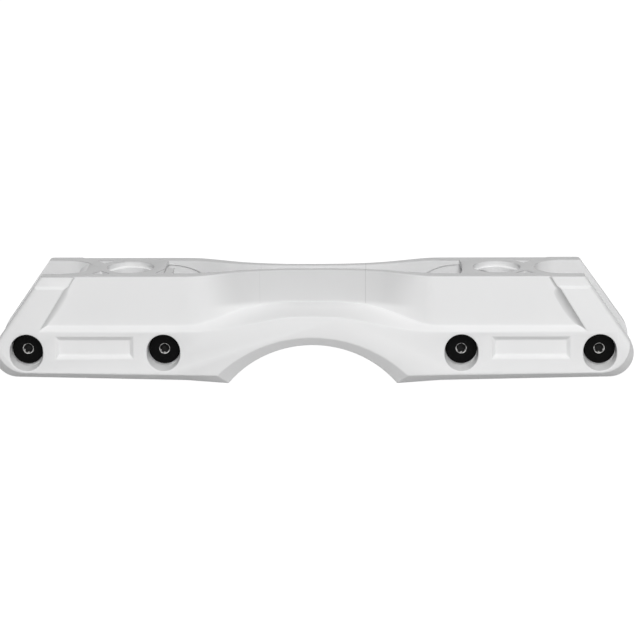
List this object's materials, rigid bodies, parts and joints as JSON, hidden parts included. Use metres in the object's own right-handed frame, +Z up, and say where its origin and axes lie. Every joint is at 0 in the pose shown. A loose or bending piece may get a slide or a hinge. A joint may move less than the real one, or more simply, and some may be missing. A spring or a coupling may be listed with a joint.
{
  "type": "inline skate frame",
  "caption": "Moulded inline skate frame with a narrow waist, a grinding arch, a deck with boot bolt holes, and two-piece axles that hold its wheels.",
  "frame": {"origin": "under the middle of the frame, on the surface that the feet of the arch stand on", "axes": "+X along the frame, +Y across it towards the closed heads of the axle barrels, +Z up to the boot deck"},
  "size_m": [0.286, 0.0472, 0.0491],
  "materials": {
    "frame_plastic": "satin moulded, white",
    "axle_black": "black, semi-gloss"
  },
  "bodies": {
    "frame": {"frame_body": "frame_plastic"},
    "axle_sleeve_1": {"axle_sleeve_1": "axle_black"},
    "axle_bolt_1": {"axle_bolt_1": "axle_black"},
    "axle_sleeve_2": {"axle_sleeve_2": "axle_black"},
    "axle_bolt_2": {"axle_bolt_2": "axle_black"},
    "axle_sleeve_3": {"axle_sleeve_3": "axle_black"},
    "axle_bolt_3": {"axle_bolt_3": "axle_black"},
    "axle_sleeve_4": {"axle_sleeve_4": "axle_black"},
    "axle_bolt_4": {"axle_bolt_4": "axle_black"}
  },
  "joints": [
    {"name": "sleeve_1_draw", "type": "slide", "parent": "frame", "child": "axle_sleeve_1", "axis": [0, 1, 0], "range_m": [0, 0.038]},
    {"name": "bolt_1_draw", "type": "slide", "parent": "frame", "child": "axle_bolt_1", "axis": [0, -1, 0], "range_m": [0, 0.026]},
    {"name": "sleeve_2_draw", "type": "slide", "parent": "frame", "child": "axle_sleeve_2", "axis": [0, 1, 0], "range_m": [0, 0.038]},
    {"name": "bolt_2_draw", "type": "slide", "parent": "frame", "child": "axle_bolt_2", "axis": [0, -1, 0], "range_m": [0, 0.026]},
    {"name": "sleeve_3_draw", "type": "slide", "parent": "frame", "child": "axle_sleeve_3", "axis": [0, 1, 0], "range_m": [0, 0.038]},
    {"name": "bolt_3_draw", "type": "slide", "parent": "frame", "child": "axle_bolt_3", "axis": [0, -1, 0], "range_m": [0, 0.026]},
    {"name": "sleeve_4_draw", "type": "slide", "parent": "frame", "child": "axle_sleeve_4", "axis": [0, 1, 0], "range_m": [0, 0.038]},
    {"name": "bolt_4_draw", "type": "slide", "parent": "frame", "child": "axle_bolt_4", "axis": [0, -1, 0], "range_m": [0, 0.026]}
  ]
}
